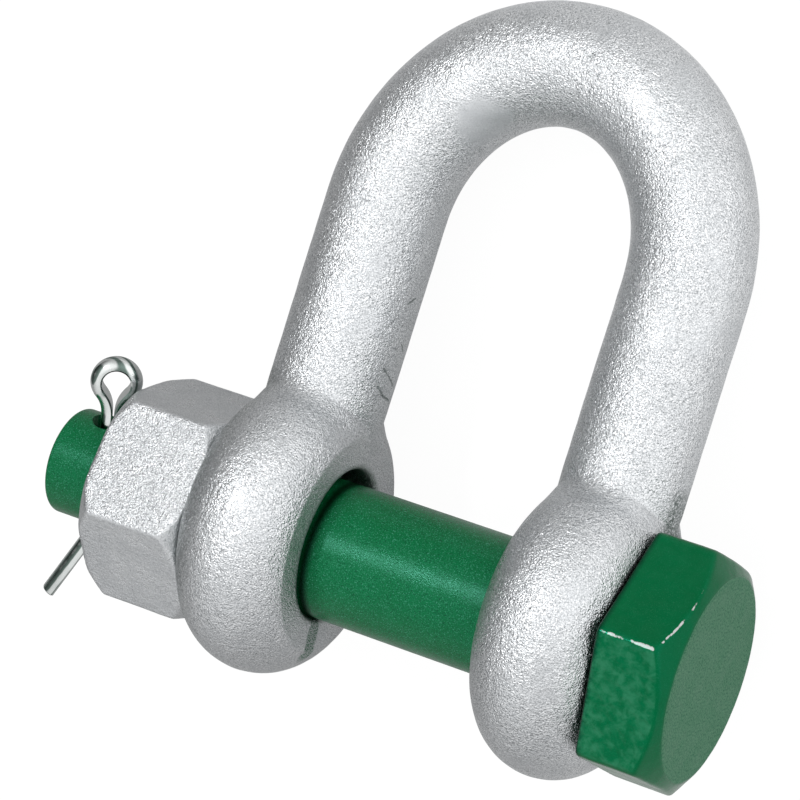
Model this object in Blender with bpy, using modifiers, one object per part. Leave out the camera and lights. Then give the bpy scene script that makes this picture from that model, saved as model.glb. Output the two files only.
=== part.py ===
"""Bolt-type dee shackle: forged bow, hex-head bolt, hex nut and split pin.

The shackle lies on its side, as it comes to rest on a floor: it stands on the rims of its
two eyes and on the crown of the bow. Units are metres, +Z is up.

Three frames are used, each an empty that carries the next:
  world         X along the bolt towards its head, Y towards the crown, Z up
  lying_frame   the bow's own plane, tilted about X until the crown touches the floor;
                its origin is the centre of the eyes' bores, midway between the eyes
  bolt_axis     local Z runs along the bolt towards its head, local Y towards the crown
"""

import math

import bmesh
import bpy
from mathutils import Matrix, Vector

MM = 0.001

# Bow
BOW_DIAMETER = 28.5 * MM
INSIDE_WIDTH = 47.6 * MM          # between the two eyes
INSIDE_LENGTH = 90.6 * MM         # from the pin to the inside of the crown
CROWN_RISE = 42.7 * MM            # height of the crown's half ellipse, on the bar's centreline
EYE_RADIUS = 34.4 * MM
EYE_THICKNESS = 27.6 * MM
EYE_FLAT_RADIUS = 25.6 * MM       # edge of the flat round the bore, where the rim begins
EYE_FILLET = 2.2 * MM             # hollow between a leg and the rim of its eye
BORE_CLEARANCE = 3.4 * MM         # the bore is this much wider than the pin
BORE_CHAMFER = 0.8 * MM

# Bolt
PIN_DIAMETER = 32.0 * MM
HEAD_ACROSS_FLATS = 51.8 * MM
HEAD_THICKNESS = 18.2 * MM
HEAD_END_INSET = 2.4 * MM         # the chamfer's circle on the end lies this far inside the flats
HEAD_CHAMFER_DROP = 4.2 * MM      # length of that chamfer at the six corners
HEAD_TURN = math.radians(-9.2)
UNDERHEAD_FILLET = 0.8 * MM
THREAD_STEP = 1.3 * MM            # from the shank down to the plain stand-in for the thread
SHOULDER_RECESS = 1.0 * MM        # the full shank stops this far inside the eye
THREAD_RECESS = 1.5 * MM          # the thread stops this far inside the nut
DOG_STEP = 2.0 * MM               # from the thread down to the plain end
DOG_LENGTH = 17.3 * MM            # plain end beyond the nut
DOG_EDGE_RADIUS = 0.8 * MM

# Nut
NUT_ACROSS_FLATS = 47.8 * MM
NUT_THICKNESS = 26.4 * MM
NUT_END_OUTSET = 0.6 * MM         # the chamfer's circle on each end lies this far over the flats
NUT_CHAMFER_DROP = 3.7 * MM
NUT_TURN = math.radians(17.4)
NUT_COUNTERSINK = 1.2 * MM

# Split pin, bent from half-round wire with its flats facing each other
COTTER_HOLE_PLAY = 2.2 * MM               # the hole is this much wider than the two wires
COTTER_HOLE_FROM_NUT = 8.7 * MM
COTTER_TURN = math.radians(113.0)         # direction of the hole round the bolt
COTTER_TWIST = math.radians(31.0)         # turn of the pin about its own length
COTTER_WIRE_RADIUS = 2.75 * MM            # the wire is half of a round rod
COTTER_SLIT = 0.3 * MM                    # between the two flats
COTTER_EYE_RADIUS = 3.35 * MM             # inside of the loop
COTTER_EYE_HEIGHT = 23.0 * MM             # centre of the loop above the bolt's axis
COTTER_NECK_RADIUS = 9.0 * MM             # where the legs flare into the loop
COTTER_BEND_RADIUS = 3.5 * MM
COTTER_BEND_BELOW = 0.8 * MM              # the bends start this far outside the dog point
OUTER_LEG_BEND = math.radians(28.7)
OUTER_LEG_LENGTH = 19.9 * MM
INNER_LEG_BEND = math.radians(20.0)
INNER_LEG_LENGTH = 14.5 * MM

# Clearance between pieces that touch
SEAT_GAP = 0.3 * MM

# Fineness
MERGE = 0.00001
CROWN_STATIONS = 22
LEG_STATIONS = 4
HOLLOW_STATIONS = 5
RIM_STATIONS = 22
SECTION_COLUMNS = 16
TURNED_STEPS = 48
HOLE_STEPS = 32
WIRE_STEPS = 8
ARC_STEP = math.radians(15.0)
SMOOTH_ANGLE = math.radians(26.0)

# Places that follow from the sizes above
BAR_RADIUS = BOW_DIAMETER / 2
PIN_RADIUS = PIN_DIAMETER / 2
BORE_RADIUS = (PIN_DIAMETER + BORE_CLEARANCE) / 2
EYE_HALF = EYE_THICKNESS / 2
LEG_X = INSIDE_WIDTH / 2 + EYE_HALF
EYE_OUTER_X = INSIDE_WIDTH / 2 + EYE_THICKNESS
BOLT_DROP = BORE_RADIUS - PIN_RADIUS - SEAT_GAP
CROWN_Y = INSIDE_LENGTH + PIN_RADIUS - BOLT_DROP + BAR_RADIUS
LEG_END_Y = CROWN_Y - CROWN_RISE

HEAD_SEAT_Z = EYE_OUTER_X + SEAT_GAP
HEAD_END_Z = HEAD_SEAT_Z + HEAD_THICKNESS
NUT_SEAT_Z = -(EYE_OUTER_X + SEAT_GAP)
NUT_END_Z = NUT_SEAT_Z - NUT_THICKNESS
BOLT_END_Z = NUT_END_Z - DOG_LENGTH
HEAD_END_RADIUS = HEAD_ACROSS_FLATS / 2 - HEAD_END_INSET
NUT_END_RADIUS = NUT_ACROSS_FLATS / 2 + NUT_END_OUTSET
THREAD_RADIUS = PIN_RADIUS - THREAD_STEP
DOG_RADIUS = THREAD_RADIUS - DOG_STEP
NUT_BORE_RADIUS = THREAD_RADIUS + SEAT_GAP
COTTER_HOLE_RADIUS = COTTER_WIRE_RADIUS + (COTTER_SLIT + COTTER_HOLE_PLAY) / 2
COTTER_HOLE_Z = NUT_END_Z - COTTER_HOLE_FROM_NUT
COTTER_SHIFT = COTTER_HOLE_PLAY / 2 - SEAT_GAP

LYING_TILT = math.asin((EYE_RADIUS - BAR_RADIUS) / CROWN_Y)


def clear_scene():
    for scene_object in list(bpy.data.objects):
        bpy.data.objects.remove(scene_object, do_unlink=True)


def new_collection(name):
    collection = bpy.data.collections.new(name)
    bpy.context.scene.collection.children.link(collection)
    return collection


def new_material(name, colour, metallic, roughness):
    material = bpy.data.materials.new(name)
    material.use_nodes = True
    shader = material.node_tree.nodes["Principled BSDF"]
    shader.inputs["Base Color"].default_value = (*colour, 1.0)
    shader.inputs["Metallic"].default_value = metallic
    shader.inputs["Roughness"].default_value = roughness
    material.diffuse_color = (*colour, 1.0)
    return material


def new_empty(name, collection, parent=None, location=(0, 0, 0), rotation=(0, 0, 0)):
    empty = bpy.data.objects.new(name, None)
    empty.empty_display_size = PIN_RADIUS
    empty.location = location
    empty.rotation_euler = rotation
    empty.parent = parent
    collection.objects.link(empty)
    return empty


def link_object(name, data, collection, parent):
    new_object = bpy.data.objects.new(name, data)
    new_object.parent = parent
    collection.objects.link(new_object)
    return new_object


def as_cutter(cutter):
    cutter.hide_render = True
    cutter.display_type = "WIRE"
    return cutter


def smooth(part):
    part.data.shade_smooth()
    part.data.set_sharp_from_angle(angle=SMOOTH_ANGLE)


def turned(name, outline, collection, parent, steps=TURNED_STEPS):
    """Turn an outline of (radius, z) points, listed top to bottom, about the local Z axis."""
    mesh = bpy.data.meshes.new(name)
    edges = [(i, i + 1) for i in range(len(outline) - 1)]
    mesh.from_pydata([(radius, 0.0, z) for radius, z in outline], edges, [])
    body = link_object(name, mesh, collection, parent)
    screw = body.modifiers.new("turn", "SCREW")
    screw.axis = "Z"
    screw.angle = math.tau
    screw.steps = steps
    screw.render_steps = steps
    screw.use_merge_vertices = True
    screw.merge_threshold = MERGE
    return body


def prism(name, across_flats, top, bottom, turn, collection, parent):
    """A six-sided prism about the local Z axis with one corner at the angle turn."""
    corner_radius = across_flats / math.sqrt(3)
    quarter = math.pi / 2         # a cone's first corner is on +Y
    placing = (Matrix.Translation((0, 0, (top + bottom) / 2))
               @ Matrix.Rotation(turn - quarter, 4, "Z"))
    bm = bmesh.new()
    bmesh.ops.create_cone(bm, cap_ends=True, segments=6, radius1=corner_radius,
                          radius2=corner_radius, depth=top - bottom, matrix=placing)
    mesh = bpy.data.meshes.new(name)
    bm.to_mesh(mesh)
    bm.free()
    return link_object(name, mesh, collection, parent)


def boolean(body, tool, operation):
    modifier = body.modifiers.new(tool.name, "BOOLEAN")
    modifier.operation = operation
    modifier.solver = "EXACT"
    modifier.object = tool
    return modifier


def arc(centre, radius, start, end, steps=None):
    """Points on an arc, with both its ends, in a number of steps or about ARC_STEP apart."""
    count = steps or max(2, math.ceil(abs(end - start) / ARC_STEP))
    angles = [start + (end - start) * i / count for i in range(count + 1)]
    return [(centre[0] + radius * math.cos(a), centre[1] + radius * math.sin(a))
            for a in angles]


def smoothstep(value):
    return value * value * (3 - 2 * value)


# Bow

def rim_profile(share):
    """Height of the eye's rim arc over its flats, 0 to 1, at a share of the half thickness."""
    rise = EYE_RADIUS - EYE_FLAT_RADIUS
    arc_radius = (EYE_HALF ** 2 + rise ** 2) / (2 * rise)
    across = share * EYE_HALF
    return (math.sqrt(arc_radius ** 2 - across ** 2) - arc_radius + rise) / rise


def section(root, top, half_width, rim_share):
    """Half of a cross section as (x, y, z) points, from the jaw side to the outer side.

    root is where the section starts and ends, top its highest point, both as (y, z). The
    section is a half ellipse where rim_share is 0 and the arc of the eye's rim where it is 1.
    """
    points = []
    for column in range(SECTION_COLUMNS + 1):
        angle = math.pi * column / SECTION_COLUMNS
        across = -math.cos(angle)
        height = (1 - rim_share) * math.sin(angle) + rim_share * rim_profile(across)
        y = root[0] + (top[0] - root[0]) * height
        z = root[1] + (top[1] - root[1]) * height
        points.append((LEG_X + half_width * across, y, z))
    return points


def crown_sections():
    """Round sections from the top of the crown to the end of a leg, on a half ellipse."""
    sections = []
    for station in range(CROWN_STATIONS):
        turn = math.pi / 2 * (1 - station / CROWN_STATIONS)
        centre = Vector((LEG_X * math.cos(turn), LEG_END_Y + CROWN_RISE * math.sin(turn), 0))
        outward = Vector((CROWN_RISE * math.cos(turn), LEG_X * math.sin(turn), 0)).normalized()
        points = []
        for column in range(SECTION_COLUMNS + 1):
            angle = math.pi * column / SECTION_COLUMNS
            point = centre - outward * BAR_RADIUS * math.cos(angle)
            points.append((point.x, point.y, BAR_RADIUS * math.sin(angle)))
        sections.append(points)
    return sections


def leg_sections(hollow_start_y):
    sections = []
    for station in range(LEG_STATIONS):
        y = LEG_END_Y + (hollow_start_y - LEG_END_Y) * station / LEG_STATIONS
        sections.append(section((y, 0), (y, BAR_RADIUS), BAR_RADIUS, 0))
    return sections


def hollow_sections(hollow_start_y, rim_start):
    """Sections through the hollow between leg and rim.

    The root runs down the leg's centreline to the edge of the eye's flat, then round that
    edge, while the top follows the fillet. The eye's crease grows from nothing on the way.
    """
    centre_z = BAR_RADIUS + EYE_FILLET
    straight = hollow_start_y - EYE_FLAT_RADIUS
    curved = EYE_FLAT_RADIUS * rim_start
    flat_begins = straight / (straight + curved)
    shares = [flat_begins * i / HOLLOW_STATIONS for i in range(HOLLOW_STATIONS)]
    shares += [flat_begins + (1 - flat_begins) * i / HOLLOW_STATIONS
               for i in range(HOLLOW_STATIONS)]
    sections = []
    for share in shares:
        sweep = -math.pi / 2 - (math.pi / 2 - rim_start) * share
        top = (hollow_start_y + EYE_FILLET * math.cos(sweep),
               centre_z + EYE_FILLET * math.sin(sweep))
        if share <= flat_begins:
            root = (hollow_start_y - share * (straight + curved), 0)
            grown = 0
        else:
            angle = rim_start * (share - flat_begins) / (1 - flat_begins)
            root = (EYE_FLAT_RADIUS * math.cos(angle), EYE_FLAT_RADIUS * math.sin(angle))
            grown = smoothstep((share - flat_begins) / (1 - flat_begins))
        half_width = BAR_RADIUS + (EYE_HALF - BAR_RADIUS) * smoothstep(share)
        sections.append(section(root, top, half_width, grown))
    return sections


def rim_sections(rim_start):
    sections = []
    for station in range(RIM_STATIONS + 1):
        angle = rim_start + (math.pi - rim_start) * station / RIM_STATIONS
        direction = (math.cos(angle), math.sin(angle))
        root = (EYE_FLAT_RADIUS * direction[0], EYE_FLAT_RADIUS * direction[1])
        top = (EYE_RADIUS * direction[0], EYE_RADIUS * direction[1])
        sections.append(section(root, top, EYE_HALF, 1))
    return sections


def half_bow_mesh():
    """Loft from the crown through one leg and round its eye, open at the plane X = 0."""
    hollow_start_y = math.sqrt((EYE_RADIUS + EYE_FILLET) ** 2 - (BAR_RADIUS + EYE_FILLET) ** 2)
    rim_start = math.atan2(BAR_RADIUS + EYE_FILLET, hollow_start_y)
    sections = crown_sections() + leg_sections(hollow_start_y)
    sections += hollow_sections(hollow_start_y, rim_start) + rim_sections(rim_start)
    flat_section = CROWN_STATIONS + LEG_STATIONS + HOLLOW_STATIONS

    bm = bmesh.new()
    grids = {}
    for side in (1, -1):
        grids[side] = [[bm.verts.new((x, y, side * z)) for x, y, z in points]
                       for points in sections]
        for near, far in zip(grids[side], grids[side][1:]):
            for column in range(SECTION_COLUMNS):
                corners = [near[column], near[column + 1], far[column + 1], far[column]]
                bm.faces.new(corners if side < 0 else reversed(corners))
    for column in (0, SECTION_COLUMNS):
        upper = [row[column] for row in grids[1][flat_section:-1]]
        lower = [row[column] for row in grids[-1][flat_section + 1:]]
        bm.faces.new(upper + list(reversed(lower)))
    bmesh.ops.remove_doubles(bm, verts=bm.verts, dist=MERGE)
    bmesh.ops.recalc_face_normals(bm, faces=bm.faces)
    mesh = bpy.data.meshes.new("bow")
    bm.to_mesh(mesh)
    bm.free()
    return mesh


def make_bow(parts, cutters, lying_frame, material):
    bow = link_object("bow", half_bow_mesh(), parts, lying_frame)
    mirror = bow.modifiers.new("other_half", "MIRROR")
    mirror.use_axis = (True, False, False)
    mirror.merge_threshold = MERGE

    past = SEAT_GAP
    outer = EYE_OUTER_X
    inner = INSIDE_WIDTH / 2
    flare = BORE_RADIUS + BORE_CHAMFER + past
    bore_outline = [(0, outer + past), (flare, outer + past),
                    (BORE_RADIUS, outer - BORE_CHAMFER), (BORE_RADIUS, inner + BORE_CHAMFER),
                    (flare, inner - past), (0, inner - past)]
    bore = as_cutter(turned("bore", bore_outline, cutters, lying_frame))
    bore.rotation_euler = (0, math.pi / 2, 0)
    other_eye = bore.modifiers.new("other_eye", "MIRROR")
    other_eye.use_axis = (False, False, True)
    other_eye.merge_threshold = MERGE
    boolean(bow, bore, "DIFFERENCE")
    bow.data.materials.append(material)
    smooth(bow)
    return bow


# Bolt

def make_bolt(parts, cutters, bolt_axis, material):
    shoulder_z = -(EYE_OUTER_X - SHOULDER_RECESS)
    thread_end_z = NUT_END_Z + THREAD_RECESS
    underhead = arc((PIN_RADIUS + UNDERHEAD_FILLET, HEAD_SEAT_Z - UNDERHEAD_FILLET),
                    UNDERHEAD_FILLET, math.pi / 2, math.pi)
    dog_edge = arc((DOG_RADIUS - DOG_EDGE_RADIUS, BOLT_END_Z + DOG_EDGE_RADIUS),
                   DOG_EDGE_RADIUS, 0, -math.pi / 2)
    inside_head_z = HEAD_SEAT_Z + HEAD_THICKNESS / 2
    outline = [(0, inside_head_z), (PIN_RADIUS + UNDERHEAD_FILLET, inside_head_z)]
    outline += underhead
    outline += [(PIN_RADIUS, shoulder_z + THREAD_STEP), (THREAD_RADIUS, shoulder_z),
                (THREAD_RADIUS, thread_end_z + DOG_STEP), (DOG_RADIUS, thread_end_z)]
    outline += dog_edge + [(0, BOLT_END_Z)]
    bolt = turned("bolt", outline, parts, bolt_axis)

    head = as_cutter(prism("head_prism", HEAD_ACROSS_FLATS, HEAD_END_Z, HEAD_SEAT_Z,
                           HEAD_TURN, cutters, bolt_axis))
    corner = HEAD_ACROSS_FLATS / math.sqrt(3)
    slope = HEAD_CHAMFER_DROP / (corner - HEAD_END_RADIUS)
    reach = corner + SEAT_GAP
    past = HEAD_SEAT_Z - SEAT_GAP
    chamfer_outline = [(0, HEAD_END_Z), (HEAD_END_RADIUS, HEAD_END_Z),
                       (reach, HEAD_END_Z - slope * (reach - HEAD_END_RADIUS)),
                       (reach, past), (0, past)]
    chamfer = as_cutter(turned("head_chamfer", chamfer_outline, cutters, bolt_axis,
                               2 * TURNED_STEPS))
    boolean(head, chamfer, "INTERSECT")
    boolean(bolt, head, "UNION")

    hole_length = 4 * DOG_RADIUS
    bm = bmesh.new()
    placing = Matrix.Rotation(math.pi / 2, 4, "Y")
    bmesh.ops.create_cone(bm, cap_ends=True, segments=HOLE_STEPS, radius1=COTTER_HOLE_RADIUS,
                          radius2=COTTER_HOLE_RADIUS, depth=hole_length, matrix=placing)
    hole_mesh = bpy.data.meshes.new("cotter_hole")
    bm.to_mesh(hole_mesh)
    bm.free()
    hole = as_cutter(link_object("cotter_hole", hole_mesh, cutters, bolt_axis))
    hole.location = (0, 0, COTTER_HOLE_Z)
    hole.rotation_euler = (0, 0, COTTER_TURN)
    boolean(bolt, hole, "DIFFERENCE")
    bolt.data.materials.append(material)
    smooth(bolt)
    return bolt


# Nut

def make_nut(parts, cutters, bolt_axis, material):
    nut = prism("hex_nut", NUT_ACROSS_FLATS, NUT_SEAT_Z, NUT_END_Z, NUT_TURN, parts, bolt_axis)
    corner = NUT_ACROSS_FLATS / math.sqrt(3)
    slope = NUT_CHAMFER_DROP / (corner - NUT_END_RADIUS)
    reach = corner + SEAT_GAP
    drop = slope * (reach - NUT_END_RADIUS)
    chamfer_outline = [(0, NUT_SEAT_Z), (NUT_END_RADIUS, NUT_SEAT_Z),
                       (reach, NUT_SEAT_Z - drop), (reach, NUT_END_Z + drop),
                       (NUT_END_RADIUS, NUT_END_Z), (0, NUT_END_Z)]
    chamfer = as_cutter(turned("nut_chamfer", chamfer_outline, cutters, bolt_axis,
                               2 * TURNED_STEPS))
    boolean(nut, chamfer, "INTERSECT")

    past = SEAT_GAP
    mouth = NUT_BORE_RADIUS + NUT_COUNTERSINK + past
    bore_outline = [(0, NUT_SEAT_Z + past), (mouth, NUT_SEAT_Z + past),
                    (NUT_BORE_RADIUS, NUT_SEAT_Z - NUT_COUNTERSINK),
                    (NUT_BORE_RADIUS, NUT_END_Z + NUT_COUNTERSINK),
                    (mouth, NUT_END_Z - past), (0, NUT_END_Z - past)]
    bore = as_cutter(turned("nut_bore", bore_outline, cutters, bolt_axis))
    boolean(nut, bore, "DIFFERENCE")
    nut.data.materials.append(material)
    smooth(nut)
    return nut


# Split pin

def cotter_route():
    """Path of the wire's flat, from the outer leg's tip over the loop to the inner leg's tip.

    Points are (across, along): along is 0 on the bolt's axis and grows towards the loop.
    """
    half_slit = COTTER_SLIT / 2
    neck_across = half_slit + COTTER_NECK_RADIUS
    neck_below = math.sqrt((COTTER_EYE_RADIUS + COTTER_NECK_RADIUS) ** 2 - neck_across ** 2)
    neck_turn = math.atan2(neck_below, neck_across)
    neck = arc((neck_across, COTTER_EYE_HEIGHT - neck_below), COTTER_NECK_RADIUS,
               math.pi, math.pi - neck_turn)
    bend_along = -(DOG_RADIUS + COTTER_BEND_BELOW)

    def side(bend, length):
        """One leg and its neck, from the tip up, as (distance from the slit, along)."""
        bent = arc((half_slit + COTTER_BEND_RADIUS, bend_along), COTTER_BEND_RADIUS,
                   math.pi + bend, math.pi)
        tip = (bent[0][0] + length * math.sin(bend), bent[0][1] - length * math.cos(bend))
        return [tip] + bent + neck

    outer_side = [(-across, along) for across, along in side(OUTER_LEG_BEND, OUTER_LEG_LENGTH)]
    inner_side = side(INNER_LEG_BEND, INNER_LEG_LENGTH)
    loop = arc((0, COTTER_EYE_HEIGHT), COTTER_EYE_RADIUS, math.pi + neck_turn, -neck_turn)
    return outer_side + loop[1:-1] + inner_side[::-1]


def poly_curve(name, points, closed):
    curve = bpy.data.curves.new(name, "CURVE")
    curve.dimensions = "3D"
    curve.twist_mode = "Z_UP"
    spline = curve.splines.new("POLY")
    spline.points.add(len(points) - 1)
    for spline_point, (x, y) in zip(spline.points, points):
        spline_point.co = (x, y, 0, 1)
    spline.use_cyclic_u = closed
    return curve


def make_split_pin(parts, guides, bolt_axis, material):
    half_round = poly_curve("half_round", arc((0, 0), COTTER_WIRE_RADIUS, 3 * math.pi / 2,
                                              math.pi / 2, WIRE_STEPS), True)
    profile = as_cutter(link_object("half_round", half_round, guides, bolt_axis))
    wire = poly_curve("split_pin", cotter_route(), False)
    wire.bevel_mode = "OBJECT"
    wire.bevel_object = profile
    wire.use_fill_caps = True
    split_pin = link_object("split_pin", wire, parts, bolt_axis)
    across_to_bolt_axis = Matrix(((0, 1, 0, 0), (0, 0, 1, 0), (1, 0, 0, 0), (0, 0, 0, 1)))
    split_pin.matrix_basis = (
        Matrix.Translation((0, 0, COTTER_HOLE_Z + COTTER_SHIFT))
        @ Matrix.Rotation(COTTER_TURN, 4, "Z")
        @ across_to_bolt_axis
        @ Matrix.Rotation(COTTER_TWIST, 4, "Y"))
    wire.materials.append(material)
    return split_pin


def settle(lying_frame, nodes):
    """Stand the finished part on Z = 0 with the origin under the middle of its box."""
    depsgraph = bpy.context.evaluated_depsgraph_get()
    points = []
    for node in nodes:
        evaluated = node.evaluated_get(depsgraph)
        mesh = evaluated.to_mesh()
        points += [evaluated.matrix_world @ vertex.co for vertex in mesh.vertices]
        evaluated.to_mesh_clear()
    low = [min(point[axis] for point in points) for axis in range(3)]
    high = [max(point[axis] for point in points) for axis in range(3)]
    middle_x = (low[0] + high[0]) / 2
    middle_y = (low[1] + high[1]) / 2
    lying_frame.location = (-middle_x, -middle_y, -low[2])


def build():
    clear_scene()
    parts = new_collection("dee_shackle")
    cutters = new_collection("cutters")
    galvanised = new_material("galvanised_steel", (0.60, 0.62, 0.63), 0.9, 0.38)
    painted = new_material("green_paint", (0.0, 0.14, 0.045), 0.0, 0.35)
    plated = new_material("plated_wire", (0.72, 0.73, 0.72), 1.0, 0.2)

    lying_frame = new_empty("lying_frame", parts, rotation=(-LYING_TILT, 0, 0))
    bolt_axis = new_empty("bolt_axis", parts, lying_frame, (0, -BOLT_DROP, 0),
                          (0, math.pi / 2, 0))
    nodes = [make_bow(parts, cutters, lying_frame, galvanised),
             make_bolt(parts, cutters, bolt_axis, painted),
             make_nut(parts, cutters, bolt_axis, galvanised),
             make_split_pin(parts, cutters, bolt_axis, plated)]
    settle(lying_frame, nodes)


build()
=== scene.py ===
"""Bolt-type dee shackle lying on a white floor: fine meshes, materials, light and camera."""

import math

import bpy
import numpy as np
from mathutils import Euler, Matrix, Vector, noise


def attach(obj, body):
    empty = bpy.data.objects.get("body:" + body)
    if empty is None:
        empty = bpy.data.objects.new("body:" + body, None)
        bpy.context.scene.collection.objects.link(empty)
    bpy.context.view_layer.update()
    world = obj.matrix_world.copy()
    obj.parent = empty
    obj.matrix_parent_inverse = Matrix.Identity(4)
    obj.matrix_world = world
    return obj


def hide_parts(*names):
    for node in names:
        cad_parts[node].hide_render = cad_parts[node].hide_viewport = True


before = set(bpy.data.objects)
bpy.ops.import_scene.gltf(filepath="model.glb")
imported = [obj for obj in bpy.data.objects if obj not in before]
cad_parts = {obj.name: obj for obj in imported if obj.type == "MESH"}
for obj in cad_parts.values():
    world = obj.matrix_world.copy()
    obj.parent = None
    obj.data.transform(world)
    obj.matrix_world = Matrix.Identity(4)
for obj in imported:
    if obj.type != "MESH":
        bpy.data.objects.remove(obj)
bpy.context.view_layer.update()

MM = 0.001

# Sizes that the solids have
BAR_RADIUS = 14.25 * MM
INNER_X = 23.8 * MM
OUTER_X = 51.4 * MM
CROWN_Y = 119.45 * MM
CROWN_RISE = 42.7 * MM
EYE_RADIUS = 34.4 * MM
EYE_FLAT_RADIUS = 25.6 * MM
EYE_FILLET = 2.2 * MM
SADDLE_FILLET = 8.0 * MM
BORE_RADIUS = 17.7 * MM
BORE_CHAMFER = 0.8 * MM
BOLT_DROP = 1.4 * MM
PIN_RADIUS = 16.0 * MM
SEAT_GAP = 0.3 * MM
HEAD_ACROSS_FLATS = 51.8 * MM
HEAD_THICKNESS = 18.2 * MM
HEAD_END_RADIUS = 23.5 * MM
HEAD_CHAMFER_DROP = 4.2 * MM
HEAD_TURN = math.radians(-9.2)
SHOULDER_RECESS = 1.0 * MM
SHOULDER_CHAMFER = 1.3 * MM
DOG_RADIUS = 12.7 * MM
DOG_LENGTH = 17.3 * MM
DOG_EDGE_RADIUS = 0.8 * MM
NUT_ACROSS_FLATS = 47.8 * MM
NUT_THICKNESS = 26.4 * MM
NUT_END_RADIUS = 24.5 * MM
NUT_CHAMFER_DROP = 3.7 * MM
NUT_TURN = math.radians(17.4)
COTTER_HOLE_RADIUS = 4.0 * MM
COTTER_HOLE_FROM_NUT = 8.7 * MM
COTTER_TURN = math.radians(113.0)
COTTER_TWIST = math.radians(31.0)
COTTER_WIRE_RADIUS = 2.75 * MM
COTTER_SLIT = 0.3 * MM
COTTER_EYE_RADIUS = 3.35 * MM
COTTER_EYE_HEIGHT = 23.0 * MM
COTTER_NECK_RADIUS = 9.0 * MM
COTTER_BEND_RADIUS = 3.5 * MM
COTTER_BEND_BELOW = 0.8 * MM
OUTER_LEG = (math.radians(28.7), 19.9 * MM)      # bend, length
INNER_LEG = (math.radians(20.0), 14.5 * MM)
COTTER_BLUNT = 0.35 * MM
COTTER_CAP_SHARE = 0.84
SHANK_IN_HEAD = 2 * MM
CENTRE_RADIUS = 0.05 * MM
BOLT_END_CENTRE = 1 * MM

# Thread, made only here
THREAD_PITCH = 3.5 * MM
THREAD_CREST = 14.9 * MM
THREAD_DEPTH = 1.9 * MM
THREAD_CLEARANCE = 0.15 * MM
THREAD_SLOPE = 1.3               # of a flank, in depths per half pitch
THREAD_FLAT = 0.15               # share of a half pitch that is flat crest
THREAD_AFTER_SHOULDER = 0.6 * MM
THREAD_END_IN_NUT = 1.0 * MM
THREAD_RUNOUT = 1.2 * MM
DOG_AFTER_THREAD = 0.3 * MM
NUT_MOUTH_WIDER = 0.5 * MM

# Frames of the solids
BORE_CENTRE = (13.6261 * MM, -48.5496 * MM, 34.3949 * MM)
LYING_TILT = math.asin((EYE_RADIUS - BAR_RADIUS) / CROWN_Y)
LYING = Matrix.Translation(BORE_CENTRE) @ Matrix.Rotation(-LYING_TILT, 4, "X")
BOLT = LYING @ Matrix.Translation((0, -BOLT_DROP, 0)) @ Matrix.Rotation(math.pi / 2, 4, "Y")

LEG_X = (INNER_X + OUTER_X) / 2
EYE_HALF = (OUTER_X - INNER_X) / 2
LEG_END_Y = CROWN_Y - CROWN_RISE
HEAD_SEAT_Z = OUTER_X + SEAT_GAP
HEAD_END_Z = HEAD_SEAT_Z + HEAD_THICKNESS
NUT_SEAT_Z = -HEAD_SEAT_Z
NUT_END_Z = NUT_SEAT_Z - NUT_THICKNESS
BOLT_END_Z = NUT_END_Z - DOG_LENGTH
COTTER_HOLE_Z = NUT_END_Z - COTTER_HOLE_FROM_NUT
COTTER_SHIFT = COTTER_HOLE_RADIUS - COTTER_WIRE_RADIUS - COTTER_SLIT / 2 - SEAT_GAP

# Camera in the bow's own frame, fitted to the photo
CAMERA_LOCATION = (0.30900, 0.05655, 0.74860)
CAMERA_ROTATION = (6.1133, 23.0186, 18.9449)
CAMERA_LENS = 162.49
SENSOR_WIDTH = 36.0

# The floor's glow in metal: a direction, two places along it, and the share at both
FLOOR_IN_METAL = ((0.82, 0.57, 0), -120 * MM, 200 * MM, 0.05, 0.97)

# Where the zinc ran smooth on the crown, and where paint ran down the left eye
SMOOTH_PLACE = ((-2 * MM, 51 * MM, 27 * MM), 8 * MM)
RUN_START = (-10.2 * MM, -66.4 * MM, 37.0 * MM)
RUN_END = (-10.2 * MM, -76.3 * MM, 37.1 * MM)
# Dark scuffs on the inner side of the left leg: two ends and half a width
SCUFFS = (
    ((-10.5 * MM, -7.0 * MM, 32.0 * MM), (-9.8 * MM, -11.1 * MM, 26.6 * MM), 0.55 * MM),
    ((-10.5 * MM, -11.2 * MM, 32.8 * MM), (-9.9 * MM, -13.3 * MM, 30.5 * MM), 0.60 * MM),
    ((-9.9 * MM, -13.3 * MM, 30.5 * MM), (-9.8 * MM, -14.7 * MM, 26.7 * MM), 0.60 * MM),
    ((-9.8 * MM, -1.4 * MM, 27.0 * MM), (-9.7 * MM, -3.0 * MM, 25.6 * MM), 0.55 * MM),
    ((-10.2 * MM, 8.1 * MM, 28.1 * MM), (-9.8 * MM, 9.5 * MM, 25.5 * MM), 0.50 * MM),
)

# Painted shade: dark rings on the paint where the pin enters the bores and beside the head's
# seat: X, and how far each fades out on both sides
JAW_SHADE_RINGS = ((BORE_CENTRE[0] - INNER_X, 2.4 * MM), (BORE_CENTRE[0] + INNER_X, 1.6 * MM))
SEAT_SHADE_RING = (BORE_CENTRE[0] + HEAD_SEAT_Z, 2.0 * MM)
# Painted shade in the crevices beside nut and head: X, fade, and the share of painted shade
NUT_CREVICE_SHADE = (BORE_CENTRE[0] - OUTER_X, 10.0 * MM, 0.80)
HEAD_CREVICE_SHADE = (BORE_CENTRE[0] + OUTER_X, 0.9 * MM, 0.85)
# Painted highlights where the head's rounded corners face, and the facets that show the
# forging most (the head's with patches of painted sheen)
HEAD_PAINTED_GLINTS = ((0.08, 0.323, 0.943), (0.487, 0.541, 0.686))
HEAD_LUMPY_SIDE = (0, -0.1923, 0.9813)
NUT_GRAINY_SIDE = (0, 0.3796, 0.9251)

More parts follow.
